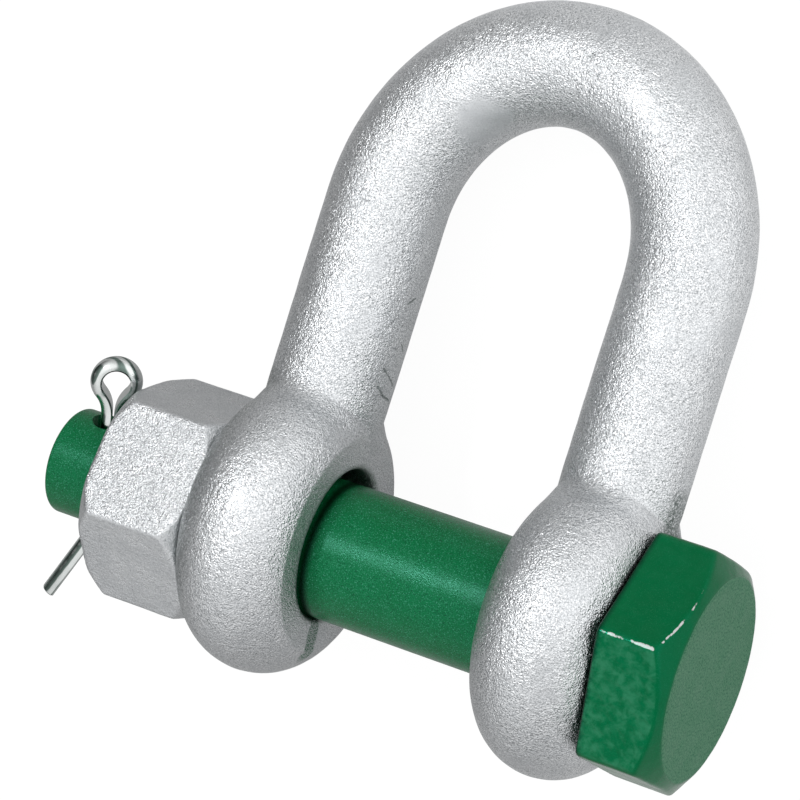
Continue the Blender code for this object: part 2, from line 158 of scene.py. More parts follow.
# Uneven forgings: height in mm, size and seed of each noise, and how deep it all sinks in mm
BOW_UNEVEN = (((0.05, 9 * MM, 3), (0.05, 3.0 * MM, 11)), 0.105)
HEAD_UNEVEN = (((0.035, 3.4 * MM, 21), (0.021, 1.5 * MM, 5)), 0.05)
NUT_UNEVEN = (((0.05, 6 * MM, 8), (0.025, 1.8 * MM, 2)), 0.05)

# How wide edges are rounded: between two sides, at the cone, at the end, at the seat
HEAD_ROUNDING = (1.3 * MM, 0.8 * MM, 0.5 * MM, 0.9 * MM)
# The nut has the same rounding at both ends
NUT_ROUNDING = (0.6 * MM, 0.5 * MM, 0.6 * MM)

# Grain of the zinc, and size and height of the paint's peel
BOW_GRAIN = 0.38 * MM
NUT_GRAIN = 0.34 * MM
GRAIN_HEIGHT = 0.28 * MM
HEAD_PEEL = (2.0 * MM, 0.4 * MM)
SHANK_PEEL = (1.8 * MM, 0.05 * MM)

# Colours, where two are given, between a cloud's low and high values
ZINC = ((0.60, 0.618, 0.635, 1), (0.67, 0.687, 0.703, 1))
ZINC_DARK_GRAIN = (0.36, 0.376, 0.39, 1)
ZINC_BRIGHT_GRAIN = (0.86, 0.872, 0.885, 1)
ZINC_STAIN = (0.20, 0.22, 0.22, 1)
ZINC_PAINTED_SHADE = (0.12, 0.15, 0.14, 1)
ZINC_SCUFF = (0.09, 0.12, 0.11, 1)
PAINT_ON_ZINC = (0.012, 0.13, 0.055, 1)
GREEN = ((0.0, 0.104, 0.024), (0.0, 0.145, 0.044))
GREEN_DUST = (0.05, 0.24, 0.15, 1)
GREEN_PIT = (0.0, 0.050, 0.016, 1)
GREEN_CHALK_AND_FLOOR_SHEEN = ((0.012, 0.090, 0.040, 1), (0.084, 0.210, 0.120, 1))
GREEN_PAINTED_SHADE = (0.0, 0.008, 0.002, 1)
GREEN_PAINTED_SHEEN = (0.022, 0.150, 0.068, 1)
PAINTED_GLINT = (0.54, 0.51, 0.52, 1)
HEAD_GLEAM = (0.05, 1.0, 0.7, 1)
SHANK_GLEAM = (0.3, 1.0, 0.8, 1)
WIRE = ((0.52, 0.55, 0.54, 1), (0.74, 0.76, 0.75, 1))
WIRE_PAINTED_SHADE = (0.05, 0.10, 0.08, 1)

# Dark bands painted on the wire as painted reflection: the side they are measured from, then
# middle and half width
WIRE_SIDE = (-0.35, 0.10, 0.93)
WIRE_SHADE_BANDS = ((0.19, 0.14), (0.61, 0.12), (1.00, 0.06))

# Fineness
COLUMNS = 56
CROWN_STATIONS = 100
LEG_STATIONS = 36
HOLLOW_STATIONS = 14
RIM_STATIONS = 90
FLAT_RINGS = 9
BORE_RINGS = 14
HEAD_STEPS = 420
HEAD_SPACING = 0.42 * MM
SHANK_STEPS = 192
THREAD_ROWS_PER_PITCH = 16
NUT_STEPS = 400
NUT_SPACING = 0.4 * MM
NUT_ROWS_PER_PITCH = 10
DRILL_STEPS = 64
WIRE_ARC_POINTS = 23
WELD_DISTANCE = 0.002 * MM
RAY_REACH = 0.06
RAY_HALVINGS = 34

# Light tent: direction, cosines between which it grows, levels at those cosines
WORLD_LOBES = (
    ((0, 0, 1), -0.1, 1.0, 0.64, 1.17),
    ((-0.145, 0.31, 0.94), 0.78, 0.95, 0.0, 0.30),
    ((0.92, 0.38, 0), 0.40, 0.97, 0.0, 0.80),
    ((0.60, -0.35, 0.71), 0.72, 1.0, 0.0, -0.24),
    ((0, 0.94, 0.34), 0.75, 1.0, 0.0, -0.14),
    ((-0.71, -0.71, 0), 0.80, 1.0, 0.0, 0.20),
    ((-1, 0.03, 0), 0.32, 1.0, 0.0, -0.61),
)
KEY_DIRECTION = (-0.33, 0.30, 0.89)
KEY_SIZE = 0.08
KEY_POWER = 1.9
FLOOR_HALF_SIZE = 4.0
FLOOR_GREY = 0.34
FLOOR_GLOW = 1.26
FLOOR_GLOW_SHARE = 0.75


# Meshes

def new_piece(name, points, faces, matrix, body, node):
    """A smooth piece in the frame matrix that rides on a body and stands for a solid."""
    mesh = bpy.data.meshes.new(name)
    mesh.from_pydata([tuple(point) for point in points], [], faces)
    mesh.validate()
    mesh.transform(matrix)
    mesh.shade_smooth()
    piece = bpy.data.objects.new(name, mesh)
    bpy.context.scene.collection.objects.link(piece)
    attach(piece, body)
    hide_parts(node)
    return piece


def grid_faces(rows, columns, closed_rows=False, closed_columns=False, start=0, flip=False):
    """Quads of a grid of rows x columns points that starts at an index."""
    faces = []
    for row in range(rows if closed_rows else rows - 1):
        below = (row + 1) % rows
        for column in range(columns if closed_columns else columns - 1):
            beside = (column + 1) % columns
            quad = (row * columns + column, row * columns + beside,
                    below * columns + beside, below * columns + column)
            quad = tuple(start + index for index in quad)
            faces.append(quad[::-1] if flip else quad)
    return faces


def welded(points, faces, distance):
    """Points and faces with the points that coincide joined into one."""
    points = np.asarray(points)
    keys = np.round(points / distance).astype(np.int64)
    _, first, inverse = np.unique(keys, axis=0, return_index=True, return_inverse=True)
    inverse = inverse.ravel()
    new_faces = []
    for face in faces:
        kept = []
        for index in face:
            joined = int(inverse[index])
            if joined not in kept:
                kept.append(joined)
        if len(kept) > 2:
            new_faces.append(tuple(kept))
    return points[first], new_faces


def smoothstep(value):
    value = np.clip(value, 0, 1)
    return value * value * (3 - 2 * value)


def rough(point, scale, seed):
    """Smooth noise at a point, about -1 to 1, with features of a size in metres."""
    return noise.noise(Vector(point) / scale + Vector((seed, seed * 1.7, -seed)))


def displaced(piece, waves, sunk):
    """Move each point of a piece along its normal by some noises, and sink it all a little."""
    mesh = piece.data
    count = len(mesh.vertices)
    normals = np.empty(count * 3, np.float32)
    mesh.vertex_normals.foreach_get("vector", normals)
    normals = normals.reshape(-1, 3)
    points = np.empty(count * 3, np.float32)
    mesh.vertices.foreach_get("co", points)
    points = points.reshape(-1, 3)
    heights = np.array([
        (sum(most * rough(point, size, seed) for most, size, seed in waves) - sunk) * MM
        for point in points])
    mesh.vertices.foreach_set("co", (points + normals * heights[:, None]).ravel())
    mesh.update()


# Bow

def rim_profile(share):
    rise = EYE_RADIUS - EYE_FLAT_RADIUS
    arc_radius = (EYE_HALF ** 2 + rise ** 2) / (2 * rise)
    return (np.sqrt(arc_radius ** 2 - (share * EYE_HALF) ** 2) - arc_radius + rise) / rise


def bow_section(root, top, half_width, rim_share):
    """Half a section from the jaw side to the outer side, between round bar and eye rim."""
    angle = np.linspace(0, math.pi, COLUMNS + 1)
    across = -np.cos(angle)
    height = (1 - rim_share) * np.sin(angle) + rim_share * rim_profile(across)
    return np.stack([LEG_X + half_width * across,
                     root[0] + (top[0] - root[0]) * height,
                     root[1] + (top[1] - root[1]) * height], axis=1)


def bow_sections():
    """Sections of a leg and its eye, and the angle round the eye of each that has a flat."""
    sections = []
    angle = np.linspace(0, math.pi, COLUMNS + 1)
    for station in range(CROWN_STATIONS):
        turn = math.pi / 2 * (1 - station / CROWN_STATIONS)
        centre = np.array([LEG_X * math.cos(turn), LEG_END_Y + CROWN_RISE * math.sin(turn)])
        outward = np.array([CROWN_RISE * math.cos(turn), LEG_X * math.sin(turn)])
        outward = outward / np.linalg.norm(outward)
        flat = centre[None, :] - outward[None, :] * BAR_RADIUS * np.cos(angle)[:, None]
        sections.append(np.column_stack([flat, BAR_RADIUS * np.sin(angle)]))

    # The hollow is tight at both sides and wide on top, so each column has its own arc
    fillet = EYE_FILLET + (SADDLE_FILLET - EYE_FILLET) * np.sin(angle) ** 2
    hollow_y = np.sqrt((EYE_RADIUS + fillet) ** 2 - (BAR_RADIUS + fillet) ** 2)
    rim_start = np.arctan2(BAR_RADIUS + fillet, hollow_y)
    for station in range(LEG_STATIONS):
        y = LEG_END_Y + (hollow_y - LEG_END_Y) * station / LEG_STATIONS
        sections.append(bow_section((y, 0), (y, BAR_RADIUS), BAR_RADIUS, 0))

    straight = hollow_y - EYE_FLAT_RADIUS
    length = straight + EYE_FLAT_RADIUS * rim_start
    flat_begins = straight / length
    shares = np.concatenate([
        np.linspace(0, flat_begins[0], HOLLOW_STATIONS, endpoint=False),
        np.linspace(flat_begins[0], 1, HOLLOW_STATIONS, endpoint=False)])
    flat_angles = []
    for station, share in enumerate(shares):
        sweep = -math.pi / 2 - (math.pi / 2 - rim_start) * share
        top = (hollow_y + fillet * np.cos(sweep),
               BAR_RADIUS + fillet + fillet * np.sin(sweep))
        done = np.clip((share - flat_begins) / (1 - flat_begins), 0, 1)
        turn = rim_start * done
        before_flat = np.maximum(flat_begins - share, 0) * length
        root = (EYE_FLAT_RADIUS * np.cos(turn) + before_flat, EYE_FLAT_RADIUS * np.sin(turn))
        half_width = BAR_RADIUS + (EYE_HALF - BAR_RADIUS) * smoothstep(share)
        sections.append(bow_section(root, top, half_width, smoothstep(done)))
        if station >= HOLLOW_STATIONS:
            flat_angles.append(turn[0])
    for turn in np.linspace(rim_start, math.pi, RIM_STATIONS + 1):
        direction = np.array([np.cos(turn), np.sin(turn)])
        sections.append(bow_section(EYE_FLAT_RADIUS * direction, EYE_RADIUS * direction,
                                    EYE_HALF, 1))
        flat_angles.append(turn[0])
    return sections, flat_angles


def bore_row(jaw_x, outer_x, turn):
    """Points over the eye's flats and through its bore, from one rim edge to the other."""
    edge = BORE_RADIUS + BORE_CHAMFER
    share = np.linspace(1, 0, FLAT_RINGS)
    radius = edge + (EYE_FLAT_RADIUS - edge) * share
    wall = np.linspace(INNER_X + BORE_CHAMFER, OUTER_X - BORE_CHAMFER, BORE_RINGS)
    x = np.concatenate([INNER_X + (jaw_x - INNER_X) * share, wall,
                        (OUTER_X + (outer_x - OUTER_X) * share)[::-1]])
    r = np.concatenate([radius, np.full(len(wall), BORE_RADIUS), radius[::-1]])
    return np.stack([x, r * math.cos(turn), r * math.sin(turn)], axis=1)


def make_bow():
    sections, flat_angles = bow_sections()
    grid = np.array(sections)
    rows, columns = grid.shape[:2]
    flat_rows = grid[rows - len(flat_angles):]
    bores = np.array([bore_row(row[0, 0], row[-1, 0], turn)
                      for row, turn in zip(flat_rows, flat_angles)])
    points, faces = [], []
    for side_x in (1, -1):
        for side_z in (1, -1):
            flip = side_x * side_z < 0
            sides = np.array([side_x, 1, side_z])
            faces += grid_faces(rows, columns, start=len(points), flip=not flip)
            points += list((grid * sides).reshape(-1, 3))
            faces += grid_faces(*bores.shape[:2], start=len(points), flip=flip)
            points += list((bores * sides).reshape(-1, 3))
    points, faces = welded(points, faces, WELD_DISTANCE)
    bow = new_piece("bow_forging", points, faces, LYING, "bow", "bow")
    displaced(bow, *BOW_UNEVEN)
    return bow


# Solids found by rays

def rounded_max(first, second, width):
    """The larger of two distances, with the edge between them rounded over a width."""
    near = np.maximum(width - np.abs(first - second), 0)
    return np.maximum(first, second) + near * near / (4 * width)


def hexagon_distance(x, y, across_flats, turn, width):
    angles = turn + math.pi / 6 + np.arange(6) * math.pi / 3
    planes = np.stack([x * math.cos(a) + y * math.sin(a) for a in angles]) - across_flats / 2
    planes = np.sort(planes, axis=0)
    return rounded_max(planes[-1], planes[-2], width)


def cone_distance(radius, z, end_radius, end_z, drop, corner):
    """Distance outside a chamfer cone that meets the end face, z growing to that end."""
    run = corner - end_radius
    length = math.hypot(drop, run)
    return ((radius - end_radius) * drop + (z - end_z) * run) / length


def hit_distance(outside, origin_r, origin_z, direction_r, direction_z, cos_turn, sin_turn):
    """How far each ray goes from its origin in its half plane before it leaves the solid."""
    low = np.zeros(np.broadcast(direction_r, cos_turn).shape)
    high = np.full_like(low, RAY_REACH)
    for _ in range(RAY_HALVINGS):
        middle = (low + high) / 2
        radius = origin_r + direction_r * middle
        z = origin_z + direction_z * middle
        out = outside(radius, z, radius * cos_turn, radius * sin_turn) > 0
        high = np.where(out, middle, high)
        low = np.where(out, low, middle)
    return (low + high) / 2


def spread(corners, step):
    """Points along a bent line through the corners, about a step apart."""
    line = []
    for start, end in zip(corners, corners[1:]):
        start, end = np.array(start, float), np.array(end, float)
        count = max(1, round(float(np.linalg.norm(end - start)) / step))
        line += [start + (end - start) * i / count for i in range(count)]
    line.append(np.array(corners[-1], float))
    return np.array(line)


# Bolt

def thread_radius(turn, z):
    """Radius of the right-hand thread, a 60 degree vee with flat crests and roots."""
    phase = (z / THREAD_PITCH + turn / math.tau) % 1.0
    ramp = np.abs(2 * phase - 1)
    return THREAD_CREST - THREAD_DEPTH * np.clip(THREAD_SLOPE * ramp - THREAD_FLAT, 0, 1)


def make_head():
    turn = np.linspace(0, math.tau, HEAD_STEPS, endpoint=False)
    cos_turn, sin_turn = np.cos(turn)[:, None], np.sin(turn)[:, None]
    corner = HEAD_ACROSS_FLATS / math.sqrt(3)
    middle_z = (HEAD_SEAT_Z + HEAD_END_Z) / 2
    between_sides, at_cone, at_end, at_seat = HEAD_ROUNDING

    def outside(radius, z, x, y):
        sides = hexagon_distance(x, y, HEAD_ACROSS_FLATS, HEAD_TURN, between_sides)
        cone = cone_distance(radius, z, HEAD_END_RADIUS, HEAD_END_Z, HEAD_CHAMFER_DROP, corner)
        body = rounded_max(sides, cone, at_cone)
        body = rounded_max(body, z - HEAD_END_Z, at_end)
        return rounded_max(body, HEAD_SEAT_Z - z, at_seat)

    line = spread([(CENTRE_RADIUS, HEAD_END_Z), (corner, HEAD_END_Z), (corner, HEAD_SEAT_Z),
                   (PIN_RADIUS - SHANK_IN_HEAD, HEAD_SEAT_Z)], HEAD_SPACING)
    away = line - np.array([0, middle_z])
    away /= np.linalg.norm(away, axis=1)[:, None]
    distance = hit_distance(outside, 0, middle_z, away[None, :, 0], away[None, :, 1],
                            cos_turn, sin_turn)
    radius = distance * away[None, :, 0]
    z = middle_z + distance * away[None, :, 1]
    points = np.stack([radius * cos_turn, radius * sin_turn, z], axis=2)
    rows, columns = points.shape[:2]
    faces = grid_faces(rows, columns, closed_rows=True)
    faces.append(tuple(row * columns for row in range(rows)))
    faces.append(tuple(row * columns + columns - 1 for row in reversed(range(rows))))
    head = new_piece("bolt_head", points.reshape(-1, 3), faces, BOLT, "bolt", "bolt")
    displaced(head, *HEAD_UNEVEN)
    return head


def make_shank():
    steps = SHANK_STEPS
    shoulder_z = -(OUTER_X - SHOULDER_RECESS)
    thread_end_z = NUT_END_Z + THREAD_END_IN_NUT
    edge = [(DOG_RADIUS - DOG_EDGE_RADIUS * (1 - math.cos(a)),
             BOLT_END_Z + DOG_EDGE_RADIUS * (1 - math.sin(a)))
            for a in np.linspace(0, math.pi / 2, 8)]
    rings = [(PIN_RADIUS, z, 0) for z in np.linspace(HEAD_SEAT_Z + SHANK_IN_HEAD,
                                                    shoulder_z + SHOULDER_CHAMFER, 120)]
    thread_start_z = shoulder_z - THREAD_AFTER_SHOULDER
    thread_rows = int((thread_start_z - thread_end_z) / (THREAD_PITCH / THREAD_ROWS_PER_PITCH))
    rings += [(THREAD_CREST, z, 1) for z in np.linspace(thread_start_z, thread_end_z,
                                                       thread_rows)]
    rings += [(DOG_RADIUS, z, 0) for z in np.linspace(thread_end_z - DOG_AFTER_THREAD,
                                                      BOLT_END_Z + DOG_EDGE_RADIUS, 40)]
    rings += [(radius, z, 0) for radius, z in edge[1:]]
    rings += [(radius, BOLT_END_Z, 0)
              for radius in np.linspace(edge[-1][0], BOLT_END_CENTRE, 16)[1:]]
    turn = np.linspace(0, math.tau, steps, endpoint=False)
    points = []
    for radius, z, threaded in rings:
        if threaded:
            fade = min(1.0, (z - thread_end_z) / THREAD_RUNOUT)
            radii = DOG_RADIUS + (thread_radius(turn, z) - DOG_RADIUS) * fade
        else:
            radii = np.full(steps, radius)
        points.append(np.stack([radii * np.cos(turn), radii * np.sin(turn),
                                np.full(steps, z)], axis=1))
    rows = len(points)
    faces = grid_faces(rows, steps, closed_columns=True)
    faces.append(tuple(reversed(range(steps))))
    faces.append(tuple((rows - 1) * steps + i for i in range(steps)))
    shank = new_piece("bolt_shank", np.concatenate(points), faces, BOLT, "bolt", "bolt")
    drill_cotter_hole(shank)
    return shank


def drill_cotter_hole(shank):
    steps = DRILL_STEPS
    turn = np.linspace(0, math.tau, steps, endpoint=False)
    circle = np.stack([np.zeros(steps), COTTER_HOLE_RADIUS * np.cos(turn),
                       COTTER_HOLE_RADIUS * np.sin(turn)], axis=1)
    length = np.array([2 * DOG_RADIUS, 0, 0])
    mesh = bpy.data.meshes.new("cotter_hole")
    faces = grid_faces(2, steps, closed_columns=True)
    faces += [tuple(reversed(range(steps))), tuple(range(steps, 2 * steps))]
    points = np.concatenate([circle - length, circle + length])
    mesh.from_pydata([tuple(point) for point in points], [], faces)
    drill = bpy.data.objects.new("cotter_hole", mesh)
    drill.matrix_world = (BOLT @ Matrix.Translation((0, 0, COTTER_HOLE_Z))
                          @ Matrix.Rotation(COTTER_TURN, 4, "Z"))
    bpy.context.scene.collection.objects.link(drill)
    cut = shank.modifiers.new("cotter_hole", "BOOLEAN")
    cut.operation = "DIFFERENCE"
    cut.solver = "EXACT"
    cut.object = drill
    depsgraph = bpy.context.evaluated_depsgraph_get()
    drilled = bpy.data.meshes.new_from_object(shank.evaluated_get(depsgraph))
    shank.modifiers.clear()
    shank.data = drilled
    drilled.shade_smooth()
    drilled.set_sharp_from_angle(angle=math.radians(40))
    bpy.data.objects.remove(drill)


# Nut

def make_nut():
    turn = np.linspace(0, math.tau, NUT_STEPS, endpoint=False)
    cos_turn, sin_turn = np.cos(turn)[:, None], np.sin(turn)[:, None]
    corner = NUT_ACROSS_FLATS / math.sqrt(3)
    middle_z = (NUT_SEAT_Z + NUT_END_Z) / 2
    half = NUT_THICKNESS / 2
    mouth_radius = THREAD_CREST + NUT_MOUTH_WIDER
    middle_r = (mouth_radius + NUT_ACROSS_FLATS / 2) / 2
    between_sides, at_cone, at_end = NUT_ROUNDING

    def outside(radius, z, x, y):
        up = np.abs(z - middle_z)
        sides = hexagon_distance(x, y, NUT_ACROSS_FLATS, NUT_TURN, between_sides)
        cone = cone_distance(radius, up, NUT_END_RADIUS, half, NUT_CHAMFER_DROP, corner)
        body = rounded_max(sides, cone, at_cone)
        body = rounded_max(body, up - half, at_end)
        return np.maximum(body, mouth_radius - radius)

    line = spread([(mouth_radius, middle_z + half), (corner, middle_z + half),
                   (corner, middle_z - half), (mouth_radius, middle_z - half)], NUT_SPACING)
    away = line - np.array([middle_r, middle_z])
    away /= np.linalg.norm(away, axis=1)[:, None]
    distance = hit_distance(outside, middle_r, middle_z, away[None, :, 0], away[None, :, 1],
                            cos_turn, sin_turn)
    radius = middle_r + distance * away[None, :, 0]
    z = middle_z + distance * away[None, :, 1]

    bore_rows = int(NUT_THICKNESS / (THREAD_PITCH / NUT_ROWS_PER_PITCH))
    bore_z = np.linspace(middle_z - half, middle_z + half, bore_rows + 2)[None, 1:-1]
    bore_z = np.repeat(bore_z, NUT_STEPS, axis=0)
    funnel = mouth_radius - (half - np.abs(bore_z - middle_z))
    bore_r = np.maximum(thread_radius(turn[:, None], bore_z) + THREAD_CLEARANCE, funnel)
    radius = np.concatenate([radius, bore_r], axis=1)
    z = np.concatenate([z, bore_z], axis=1)
    points = np.stack([radius * cos_turn, radius * sin_turn, z], axis=2)
    rows, columns = points.shape[:2]
    faces = grid_faces(rows, columns, closed_rows=True, closed_columns=True)
    nut = new_piece("hex_nut_forged", points.reshape(-1, 3), faces, BOLT, "bolt", "hex_nut")
    displaced(nut, *NUT_UNEVEN)
    return nut


# Split pin

def arc(centre, radius, start, end, step=math.radians(4)):
    count = max(2, math.ceil(abs(end - start) / step))
    return [(centre[0] + radius * math.cos(a), centre[1] + radius * math.sin(a))
            for a in np.linspace(start, end, count + 1)]


def cotter_route():
    """Path of the wire's flat from the outer leg's tip, over the loop, to the inner leg's."""
    half_slit = COTTER_SLIT / 2
    neck_across = half_slit + COTTER_NECK_RADIUS
    neck_below = math.sqrt((COTTER_EYE_RADIUS + COTTER_NECK_RADIUS) ** 2 - neck_across ** 2)
    neck_turn = math.atan2(neck_below, neck_across)
    neck = arc((neck_across, COTTER_EYE_HEIGHT - neck_below), COTTER_NECK_RADIUS,
               math.pi, math.pi - neck_turn)
    bend_along = -(DOG_RADIUS + COTTER_BEND_BELOW)

    def side(bend, length):
        bent = arc((half_slit + COTTER_BEND_RADIUS, bend_along), COTTER_BEND_RADIUS,
                   math.pi + bend, math.pi)
        tip = (bent[0][0] + length * math.sin(bend), bent[0][1] - length * math.cos(bend))
        return [tip] + bent + neck

    outer = [(-across, along) for across, along in side(*OUTER_LEG)]
    loop = arc((0, COTTER_EYE_HEIGHT), COTTER_EYE_RADIUS, math.pi + neck_turn, -neck_turn)
    return outer + loop[1:-1] + side(*INNER_LEG)[::-1]


def make_split_pin():
    route = np.array(cotter_route())
    ahead = np.gradient(route, axis=0)
    ahead /= np.linalg.norm(ahead, axis=1)[:, None]
    away = np.stack([-ahead[:, 1], ahead[:, 0]], axis=1)
    arc_angles = np.linspace(-math.pi / 2, math.pi / 2, WIRE_ARC_POINTS)
    reach = COTTER_WIRE_RADIUS * np.cos(arc_angles)
    wide = COTTER_WIRE_RADIUS * np.sin(arc_angles)
    reach = np.concatenate([[0, 0], np.maximum(reach, 0)[1:-1], [0, 0]])
    flat_end = COTTER_WIRE_RADIUS - COTTER_BLUNT
    wide = np.concatenate([[-0.5 * COTTER_WIRE_RADIUS, -flat_end], wide[1:-1],
                           [flat_end, 0.5 * COTTER_WIRE_RADIUS]])
    sections = []
    for point, sideways in zip(route, away):
        flat = point[None, :] + sideways[None, :] * reach[:, None]
        sections.append(np.column_stack([flat, wide]))
    for end, direction in ((0, -1), (-1, 1)):
        middle = sections[end].mean(axis=0)
        back = np.array([*ahead[end], 0]) * direction * COTTER_BLUNT
        cap = middle + (sections[end] - middle) * COTTER_CAP_SHARE
        sections[end] = sections[end] - back
        sections.insert(0 if direction < 0 else len(sections), cap)
    points = np.concatenate(sections)
    rows, columns = len(sections), len(wide)
    faces = grid_faces(rows, columns, closed_columns=True)
    faces.append(tuple(reversed(range(columns))))
    faces.append(tuple((rows - 1) * columns + i for i in range(columns)))
    across_to_bolt = Matrix(((0, 1, 0, 0), (0, 0, 1, 0), (1, 0, 0, 0), (0, 0, 0, 1)))
    matrix = (BOLT @ Matrix.Translation((0, 0, COTTER_HOLE_Z + COTTER_SHIFT))
              @ Matrix.Rotation(COTTER_TURN, 4, "Z") @ across_to_bolt
              @ Matrix.Rotation(COTTER_TWIST, 4, "Y"))
    pin = new_piece("split_pin_wire", points, faces, matrix, "bolt", "split_pin")
    pin.data.set_sharp_from_angle(angle=math.radians(50))
    return pin


# Materials

class Graph:
    """The node tree of a new material, with short ways to add nodes."""

    def __init__(self, name):
        self.material = bpy.data.materials.new(name)
        self.material.use_nodes = True
        self.tree = self.material.node_tree
        self.shader = self.tree.nodes["Principled BSDF"]

    def add(self, kind, inputs=None, **settings):
        new_node = self.tree.nodes.new(kind)
        for key, value in settings.items():
            setattr(new_node, key, value)
        for key, value in (inputs or {}).items():
            self.put(new_node.inputs[key], value)
        return new_node

    def put(self, socket, value):
        if isinstance(value, bpy.types.NodeSocket):
            self.tree.links.new(value, socket)
        else:
            socket.default_value = value

    def place(self):
        return self.add("ShaderNodeTexCoord").outputs["Object"]

    def noise(self, place, size, detail=2.0, roughness=0.5, distortion=0.0):
        """Noise with features of a size in metres, 0 to 1."""
        made = self.add("ShaderNodeTexNoise",
                        {"Vector": place, "Scale": 1 / size, "Detail": detail,
                         "Roughness": roughness, "Distortion": distortion})
        return made.outputs["Fac"]

    def facing(self, direction):
        """Cosine between the surface of the object and a direction, fixed to the object."""
        normal = self.add("ShaderNodeTexCoord").outputs["Normal"]
        made = self.add("ShaderNodeVectorMath", {0: normal, 1: direction},
                        operation="DOT_PRODUCT")
        return made.outputs["Value"]

    def along(self, place, direction, start):
        """How far a place is along a direction, plus a start."""
        made = self.add("ShaderNodeVectorMath", {0: place, 1: direction},
                        operation="DOT_PRODUCT")
        return self.math("ADD", made.outputs["Value"], start)

    def distance(self, place, centre):
        return self.add("ShaderNodeVectorMath", {0: place, 1: centre},
                        operation="DISTANCE").outputs["Value"]

    def off_line(self, place, start, end):
        """Distance from a place to the line between two points."""
        way = Vector(end) - Vector(start)
        done = self.along(place, way / way.length_squared,
                          -way.dot(Vector(start)) / way.length_squared)
        done = self.math("MINIMUM", self.math("MAXIMUM", done, 0.0), 1.0)
        nearest = self.add("ShaderNodeVectorMath", {0: tuple(way), "Scale": done},
                           operation="SCALE").outputs[0]
        nearest = self.add("ShaderNodeVectorMath", {0: nearest, 1: tuple(start)},
                           operation="ADD").outputs[0]
        return self.distance(place, nearest)

    def remap(self, value, low, high, to_low=0.0, to_high=1.0):
        made = self.add("ShaderNodeMapRange",
                        {"Value": value, "From Min": low, "From Max": high,
                         "To Min": to_low, "To Max": to_high},
                        interpolation_type="SMOOTHSTEP")
        return made.outputs["Result"]

    def math(self, operation, first, second=0.0, third=0.0):
        return self.add("ShaderNodeMath", {0: first, 1: second, 2: third},
                        operation=operation).outputs[0]

    def mix(self, factor, first, second):
        made = self.add("ShaderNodeMix", data_type="RGBA")
        sockets = [s for s in made.inputs if s.type == "RGBA"]
        self.put(made.inputs[0], factor)
        self.put(sockets[0], first)
        self.put(sockets[1], second)
        return next(s for s in made.outputs if s.type == "RGBA")

    def bump(self, height, distance, strength=1.0, normal=None):
        inputs = {"Height": height, "Distance": distance, "Strength": strength}
        if normal is not None:
            inputs["Normal"] = normal
        return self.add("ShaderNodeBump", inputs).outputs["Normal"]

    def finish(self, **inputs):
        for key, value in inputs.items():
            self.put(self.shader.inputs[key.replace("_", " ")], value)
        return self.material


def off_plane(g, place, x):
    """How far a place is from the plane at X, on either side."""
    x_place = g.add("ShaderNodeSeparateXYZ", {0: place}).outputs["X"]
    return g.math("ABSOLUTE", g.math("SUBTRACT", x_place, x))


def off_bore(g, place):
    """How far a place is from the axis of the bores."""
    flattened = g.add("ShaderNodeVectorMath", {0: place, 1: (0, 1, 1)},
                      operation="MULTIPLY").outputs[0]
    return g.distance(flattened, (0, *BORE_CENTRE[1:]))


def paint_left(g, place):
    """Green paint that the bolt left on the left eye: a rim round the bore and a run below."""
    on_jaw = g.remap(off_plane(g, place, BORE_CENTRE[0] - INNER_X), 2.5 * MM, 0.8 * MM)
    ragged = g.noise(place, 1.6 * MM, 3.0, 0.6)
    radius = g.math("MULTIPLY_ADD", ragged, 3.0 * MM, off_bore(g, place))
    rim = g.remap(radius, BORE_RADIUS + 3.4 * MM, BORE_RADIUS + 1.6 * MM, 0.0, 0.55)
    across = g.math("MULTIPLY_ADD", ragged, 2.4 * MM, g.off_line(place, RUN_START, RUN_END))
    run = g.remap(across, 4.0 * MM, 3.0 * MM)
    return g.math("MULTIPLY", g.math("MAXIMUM", rim, run), on_jaw)


